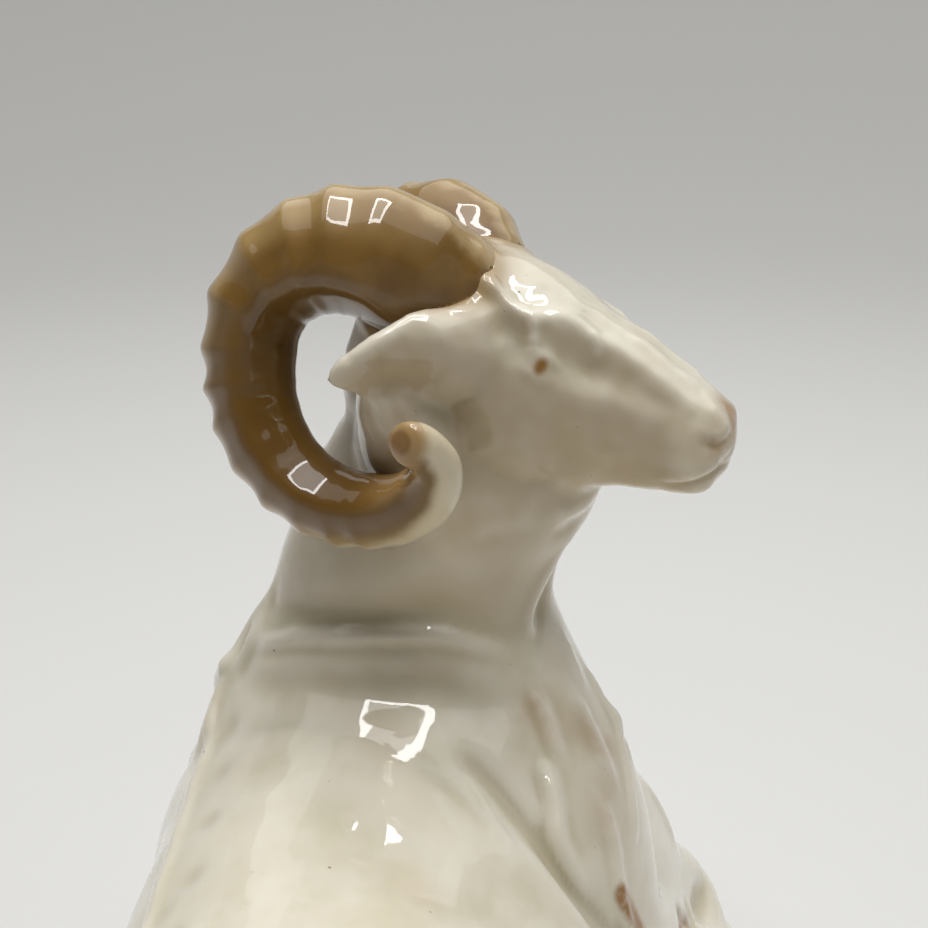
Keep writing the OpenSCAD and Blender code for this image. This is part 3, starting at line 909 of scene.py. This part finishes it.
def close_casting(obj):
    """Turns the rim of the seam inwards by the wall's thickness, fills it, and counts gaps."""
    only(obj)
    outer_faces = len(obj.data.polygons)
    outer_points = len(obj.data.vertices)
    bpy.ops.object.mode_set(mode="EDIT")
    bpy.ops.mesh.select_mode(type="EDGE")
    bpy.ops.mesh.select_all(action="DESELECT")
    bpy.ops.mesh.select_non_manifold(extend=False, use_wire=False, use_boundary=True,
                                     use_multi_face=False, use_non_contiguous=False,
                                     use_verts=False)
    bpy.ops.mesh.extrude_edges_move()
    bpy.ops.object.mode_set(mode="OBJECT")
    points = points_of(obj)
    fair = read_vectors(obj.data.attributes["fair_normal"].data, "vector")
    points[outer_points:] -= WALL * fair[outer_points:]
    points[:, 2] = np.maximum(points[:, 2], 0)
    move_points(obj, points)
    bpy.ops.object.mode_set(mode="EDIT")
    bpy.ops.mesh.select_all(action="SELECT")
    bpy.ops.mesh.fill_holes(sides=0)
    bpy.ops.mesh.select_all(action="DESELECT")
    bpy.ops.object.mode_set(mode="OBJECT")
    caps = obj.data.attributes.new("cap", "BOOLEAN", "FACE")
    flags = np.arange(len(obj.data.polygons)) >= outer_faces
    caps.data.foreach_set("value", flags)
    clay = bmesh.new()
    clay.from_mesh(obj.data)
    bmesh.ops.triangulate(clay, faces=[f for f in clay.faces if len(f.verts) > 4])
    open_edges = sum(not edge.is_manifold for edge in clay.edges)
    clay.to_mesh(obj.data)
    clay.free()
    return open_edges


for name, obj in pieces.items():
    if not name.startswith("horn"):
        print(name, "open edges after closing:", close_casting(obj))

# %% [markdown]
# ## From millimetres to metres
#
# The pieces are brought to metres, and every point gets back the normal it had on the whole
# skin. Each piece takes over from the CAD part of the same name and rides on the one body.

# %% Finished pieces
PORCELAIN_MM = 0.001

for name, obj in pieces.items():
    obj.data.transform(Matrix.Scale(PORCELAIN_MM, 4))
    only(obj)
    bpy.ops.object.shade_smooth()
    if name.startswith("horn"):
        bpy.ops.object.shade_smooth_by_angle(angle=math.radians(50))
    else:
        fair = read_vectors(obj.data.attributes["fair_normal"].data, "vector")
        cap = np.empty(len(obj.data.polygons), bool)
        obj.data.attributes["cap"].data.foreach_get("value", cap)
        corner_point = np.empty(len(obj.data.loops), int)
        obj.data.loops.foreach_get("vertex_index", corner_point)
        corners = np.empty(len(obj.data.polygons), int)
        obj.data.polygons.foreach_get("loop_total", corners)
        corner_is_cap = np.repeat(cap, corners)
        corner_normals = fair[corner_point]
        corner_normals[corner_is_cap] = 0
        foot = np.repeat([abs(p.normal.z) > 0.98 and p.center.z < 1e-4
                          for p in obj.data.polygons], corners)
        corner_normals[foot] = 0
        obj.data.normals_split_custom_set(corner_normals.tolist())
        for leftover in ("fair_normal", "cap"):
            obj.data.attributes.remove(obj.data.attributes[leftover])
    obj.vertex_groups.clear()
    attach(obj, "root")
    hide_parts(name)

# %% [markdown]
# ## Materials
#
# One function turns the paint chart's colours, written as on the web, to the linear values
# the renderer counts in, and one adds a node with its settings and links.

# %% Colours and nodes
def colour(code):
    """An sRGB colour such as e5e1d4, in linear values."""
    parts = [int(code[i:i + 2], 16) / 255 for i in (0, 2, 4)]
    return [p / 12.92 if p <= 0.04045 else ((p + 0.055) / 1.055) ** 2.4 for p in parts] + [1]


def add(tree, kind, sockets=None, **settings):
    """Adds a node; sockets are given by name or number, as values or as outputs to link."""
    made = tree.nodes.new(kind)
    for key, value in settings.items():
        setattr(made, key, value)
    for key, value in (sockets or {}).items():
        if isinstance(value, bpy.types.NodeSocket):
            tree.links.new(value, made.inputs[key])
        else:
            made.inputs[key].default_value = value
    return made


def new_material(name):
    material = bpy.data.materials.new(name)
    material.use_nodes = True
    material.node_tree.nodes.clear()
    return material, material.node_tree


PER_MM = 1000.0
MIX_FACTOR, MIX_A, MIX_B, MIX_RESULT = 0, 6, 7, 2

# %% A stack of glazes and the clear coat over it
def lay_glazes(tree, base, masks, layers):
    """Mixes colours over a base, each by a strength and by the masks that are named for it."""
    shade = colour(base)
    for tint, strength, *where in layers:
        for name in where:
            strength = add(tree, "ShaderNodeMath", {0: masks[name], 1: strength},
                           operation="MULTIPLY").outputs[0]
        shade = add(tree, "ShaderNodeMix",
                    {MIX_FACTOR: strength, MIX_A: shade, MIX_B: colour(tint)},
                    data_type="RGBA").outputs[MIX_RESULT]
    return shade


def fire_under_clear_glaze(tree, place, body):
    """The clear glaze: a smooth coat of IOR 1.52, whose own skin is faintly uneven."""
    unevenness = add(tree, "ShaderNodeTexNoise",
                     {0: place, "Scale": PER_MM / 4.5, "Detail": 2.0, "Roughness": 0.55})
    skin_of_glaze = add(tree, "ShaderNodeBump", {"Strength": 0.35, "Distance": 0.00012,
                                                 "Height": unevenness.outputs[0]})
    # the coat already mirrors the room, so the body under it has little shine of its own
    shader = add(tree, "ShaderNodeBsdfPrincipled",
                 {"IOR": 1.5, "Specular IOR Level": 0.15, "Coat Weight": 1.0,
                  "Coat Roughness": 0.035, "Coat IOR": 1.52,
                  "Coat Normal": skin_of_glaze.outputs[0], **body})
    add(tree, "ShaderNodeOutputMaterial", {0: shader.outputs[0]})


# %% [markdown]
# ### Glazed porcelain
#
# Porcelain is a white kaolin and feldspar body fired to 1300 degrees, which is glassy and a
# little translucent. The clear glaze over it is a smooth glass of IOR 1.5, so it is a coat
# with sharp reflections over a soft diffuse body. The glaze is cream, faintly green where it
# pools and warmer where it is thin, with iron specks of 0.3 to 0.5 mm a centimetre apart.

# %% Glazed porcelain
def glazed_porcelain():
    material, tree = new_material("glazed porcelain")
    place = add(tree, "ShaderNodeTexCoord").outputs["Object"]
    masks = {}
    for name in ("warm_wash", "pooled_glaze", "thin_glaze", "rose_tint", "overspray",
                 "brown_paint"):
        masks[name] = add(tree, "ShaderNodeAttribute", attribute_name=name).outputs["Fac"]

    # size in mm, shift, and the values where the cloud starts and where it is full
    for name, size, shift, low, high in (
            ("grey clouds", 26, 0.0, 0.40, 0.66), ("warm clouds", 17, 0.3, 0.46, 0.70),
            ("green clouds", 9, 0.7, 0.46, 0.72), ("sprayed grain", 6, 0.1, 0.2, 0.6),
            ("brushed grain", 2.2, 0.0, 0.1, 0.5)):
        moved = add(tree, "ShaderNodeMapping", {0: place, 1: (shift, shift, shift)})
        cloud = add(tree, "ShaderNodeTexNoise",
                    {0: moved.outputs[0], "Scale": PER_MM / size, "Detail": 3.0,
                     "Roughness": 0.55})
        masks[name] = add(tree, "ShaderNodeMapRange", {0: cloud.outputs[0], 1: low, 2: high},
                          interpolation_type="SMOOTHSTEP").outputs[0]

    # iron specks: spacing and radius in mm; half of the cells have one
    for name, spacing, size in (("large specks", 7.5, 0.19), ("small specks", 3.6, 0.11)):
        cells = add(tree, "ShaderNodeTexVoronoi", {0: place, "Scale": PER_MM / spacing})
        speck = add(tree, "ShaderNodeMapRange",
                    {0: cells.outputs["Distance"], 1: size / spacing * 1.5,
                     2: size / spacing * 0.7}, interpolation_type="SMOOTHSTEP")
        chance = add(tree, "ShaderNodeSeparateColor", {0: cells.outputs["Color"]})
        chosen = add(tree, "ShaderNodeMapRange", {0: chance.outputs[0], 1: 0.5, 2: 0.55},
                     interpolation_type="SMOOTHSTEP")
        masks[name] = add(tree, "ShaderNodeMath", {0: speck.outputs[0], 1: chosen.outputs[0]},
                          operation="MULTIPLY").outputs[0]

    shade = lay_glazes(tree, "ebe5d4", masks, [
        ("dfd9c6", 1.0, "grey clouds"), ("ddcfb6", 0.5, "warm clouds"),
        # bda886 is a painted shade on the steep sides of the head and neck
        ("cbc7a6", 0.35, "green clouds"), ("bda886", 0.7, "warm_wash"),
        ("b8ac88", 0.5, "pooled_glaze"), ("efe9db", 0.5, "thin_glaze"),
        ("b28c62", 1.0, "rose_tint", "sprayed grain"), ("a3834f", 0.85, "overspray"),
        ("9c6f33", 1.0, "brown_paint", "brushed grain"),
        ("5d4c3d", 0.75, "large specks"), ("8d7c69", 0.55, "small specks")])
    fire_under_clear_glaze(tree, place, {
        "Base Color": shade, "Roughness": 0.42, "Subsurface Weight": 0.12,
        "Subsurface Radius": (0.8, 0.6, 0.4), "Subsurface Scale": 0.003})
    return material


porcelain = glazed_porcelain()
print("material:", porcelain.name)

# %% [markdown]
# ### Brown glaze on the horns
#
# The horns are sprayed with a brown iron and rutile glaze under the same clear glaze. The
# spray comes from the side, so it is lighter along the outer edge and darker inside the curl,
# and it fades out to bare cream on the outer side before the tip. The tip has a tan end with
# a small brown dot.

# %% Brown sprayed glaze
def brown_sprayed_glaze():
    material, tree = new_material("brown sprayed porcelain glaze")
    place = add(tree, "ShaderNodeTexCoord").outputs["Object"]
    run, edge, end = (add(tree, "ShaderNodeAttribute", attribute_name=name).outputs["Fac"]
                      for name in ("along_horn", "outer_edge", "from_end"))
    coarse, fine = (add(tree, "ShaderNodeTexNoise",
                        {0: place, "Scale": PER_MM / size, "Detail": 3.0}).outputs[0]
                    for size in (7, 6))
    # the spray's edges waver by 7 hundredths to either side
    wavering = add(tree, "ShaderNodeMath", {0: fine, 1: 0.14, 2: -0.07},
                   operation="MULTIPLY_ADD").outputs[0]
    wavering_run, wavering_edge = (
        add(tree, "ShaderNodeMath", {0: value, 1: wavering}, operation="ADD").outputs[0]
        for value in (run, edge))
    # the bare end starts earlier on the outer side
    earlier = add(tree, "ShaderNodeMath", {0: edge, 1: 0.6, 2: -0.468},
                  operation="MULTIPLY_ADD").outputs[0]
    towards_bare = add(tree, "ShaderNodeMath", {0: wavering_run, 1: earlier},
                       operation="ADD").outputs[0]
    masks = {}
    for name, value, low, high in (
            ("gathered", coarse, 0.36, 0.68), ("inside", edge, 0.45, 0.08),
            ("past the crown", wavering_run, 0.25, 0.42), ("past the root", run, 0.02, 0.22),
            ("outer side", wavering_edge, 0.62, 0.93), ("outer line", wavering_edge, 0.93, 1.02),
            ("bare", towards_bare, 0.76, 0.94), ("inner side", wavering_edge, 0.42, 0.12),
            ("near the tip", run, 0.72, 0.84), ("tan end", end, 0.46, 0.26),
            ("brown ring", end, 0.20, 0.13), ("pale dot", end, 0.12, 0.06)):
        masks[name] = add(tree, "ShaderNodeMapRange", {0: value, 1: low, 2: high},
                          interpolation_type="SMOOTHSTEP").outputs[0]
    shade = lay_glazes(tree, "846432", masks, [
        ("755629", 1.0, "gathered"), ("674a1e", 0.85, "inside"),
        ("6e4f1f", 0.75, "past the crown"), ("a98c5a", 0.9, "outer side", "past the root"),
        ("c2aa80", 1.0, "outer line"), ("dacdb0", 1.0, "bare"),
        ("a5814a", 0.8, "inner side", "near the tip"), ("a88450", 0.9, "tan end"),
        ("87602e", 0.8, "brown ring"), ("b99765", 1.0, "pale dot")])
    fire_under_clear_glaze(tree, place, {"Base Color": shade, "Roughness": 0.4})
    return material


horn_glaze = brown_sprayed_glaze()
print("material:", horn_glaze.name)

# %% [markdown]
# ### Bare porcelain underneath
#
# The foot is wiped clean of glaze, or it would stick to the kiln shelf. Bare porcelain is
# matt and a little grey where it has rubbed on shelves and tables.

# %% Bare porcelain
def bare_porcelain():
    material, tree = new_material("bare fired porcelain")
    place = add(tree, "ShaderNodeTexCoord").outputs["Object"]
    rubbed = add(tree, "ShaderNodeTexNoise", {0: place, "Scale": PER_MM / 9, "Detail": 5.0})
    shade = add(tree, "ShaderNodeMix",
                {MIX_FACTOR: rubbed.outputs[0], MIX_A: colour("ddd6c8"), MIX_B: colour("b7aea0")},
                data_type="RGBA")
    grain = add(tree, "ShaderNodeTexNoise", {0: place, "Scale": PER_MM / 0.5, "Detail": 2.0})
    tooth = add(tree, "ShaderNodeBump",
                {"Strength": 0.3, "Distance": 0.0001, "Height": grain.outputs[0]})
    shader = add(tree, "ShaderNodeBsdfPrincipled",
                 {"Base Color": shade.outputs[MIX_RESULT], "Roughness": 0.75, "IOR": 1.5,
                  "Normal": tooth.outputs[0]})
    add(tree, "ShaderNodeOutputMaterial", {0: shader.outputs[0]})
    return material


bare = bare_porcelain()

# %% Giving the pieces their finish
for name, obj in pieces.items():
    obj.data.materials.clear()
    obj.data.materials.append(horn_glaze if name.startswith("horn") else porcelain)
    obj.data.materials.append(bare)
    for face in obj.data.polygons:
        face.material_index = int(face.center.z < 1e-4 and face.normal.z < -0.98)
    if not any(face.material_index for face in obj.data.polygons):
        obj.data.materials.pop()
print("finished pieces:", sorted(obj.name for obj in pieces.values()))

# %% [markdown]
# ## The table, the lamp and the camera
#
# The figurine stands on a plain pale table that curves up into a wall far behind it, all
# round. The studio light is a wide dim ceiling and one soft box overhead with a bright rim,
# which the glaze mirrors as small bright frames. The camera looks slightly down at the head
# from over the back.

# %% Table
TABLE_RADIUS = 1.0
WALL_CURVE = 1.3
bpy.ops.object.select_all(action="DESELECT")
bpy.ops.mesh.primitive_circle_add(vertices=96, radius=TABLE_RADIUS - 0.1, fill_type="NGON")
table = bpy.context.object
table.name = table.data.name = "table"
bpy.ops.object.mode_set(mode="EDIT")
bpy.ops.mesh.select_mode(type="EDGE")
bpy.ops.mesh.select_all(action="SELECT")
bpy.ops.mesh.region_to_loop()
radius, height = TABLE_RADIUS - 0.1, 0.0
for turn in np.radians(np.arange(0, 85, 6)):
    next_radius = TABLE_RADIUS + WALL_CURVE * math.sin(turn)
    up = WALL_CURVE * (1 - math.cos(turn)) - height
    bpy.ops.mesh.extrude_edges_move(TRANSFORM_OT_translate={"value": (0, 0, up)})
    wider = next_radius / radius
    bpy.ops.transform.resize(value=(wider, wider, 1))
    radius, height = next_radius, height + up
bpy.ops.object.mode_set(mode="OBJECT")
bpy.ops.object.shade_smooth()
paper, tree = new_material("matt white paper")
shader = add(tree, "ShaderNodeBsdfPrincipled",
             {"Base Color": colour("dededc"), "Roughness": 0.9, "IOR": 1.4})
add(tree, "ShaderNodeOutputMaterial", {0: shader.outputs[0]})
table.data.materials.append(paper)

# %% Lights
BOX_HEIGHT, BOX_LENGTH, BOX_BREADTH, RIM = 0.95, 0.62, 0.46, 0.07
BOX_MIDDLE = (0.02, 0.0)
RIM_WATTS, MIDDLE_WATTS, CEILING_WATTS = 1.15, 1.8, 27.0
CEILING_HEIGHT = 1.9

to_near_rim, to_side_rim = (BOX_LENGTH - RIM) / 2, (BOX_BREADTH - RIM) / 2
for name, x, y, z, size_x, size_y, watts in (
        ("box rim near", -to_near_rim, 0, BOX_HEIGHT, RIM, BOX_BREADTH, RIM_WATTS),
        ("box rim far", to_near_rim, 0, BOX_HEIGHT, RIM, BOX_BREADTH, RIM_WATTS),
        ("box rim left", 0, to_side_rim, BOX_HEIGHT, BOX_LENGTH - 2 * RIM, RIM, RIM_WATTS),
        ("box rim right", 0, -to_side_rim, BOX_HEIGHT, BOX_LENGTH - 2 * RIM, RIM, RIM_WATTS),
        ("box middle", 0, 0, BOX_HEIGHT + 0.01, BOX_LENGTH, BOX_BREADTH, MIDDLE_WATTS),
        ("ceiling", 0.95, 0, CEILING_HEIGHT, 3.0, 3.4, CEILING_WATTS)):
    bpy.ops.object.light_add(type="AREA", location=(BOX_MIDDLE[0] + x, BOX_MIDDLE[1] + y, z))
    lamp = bpy.context.object
    lamp.name = lamp.data.name = name
    lamp.data.shape = "RECTANGLE"
    lamp.data.size, lamp.data.size_y, lamp.data.energy = size_x, size_y, watts

room = bpy.data.worlds.new("soft grey room")
room.use_nodes = True
room.node_tree.nodes["Background"].inputs["Color"].default_value = colour("a8957a")
room.node_tree.nodes["Background"].inputs["Strength"].default_value = 0.07
bpy.context.scene.world = room
bpy.context.scene.view_settings.view_transform = "Standard"

# %% Camera
CAMERA_PLACE = Vector((-0.1443, -0.0373, 0.1910))
CAMERA_YAW = math.radians(12.6)
CAMERA_PITCH = math.radians(18)
looking = Vector((math.cos(CAMERA_PITCH) * math.cos(CAMERA_YAW),
                  math.cos(CAMERA_PITCH) * math.sin(CAMERA_YAW), -math.sin(CAMERA_PITCH)))
bpy.ops.object.camera_add(location=CAMERA_PLACE,
                          rotation=looking.to_track_quat("-Z", "Y").to_euler())
camera = bpy.context.object
camera.data.lens = 49.46
camera.data.sensor_width = 36
camera.data.clip_start = 0.005
bpy.context.scene.camera = camera
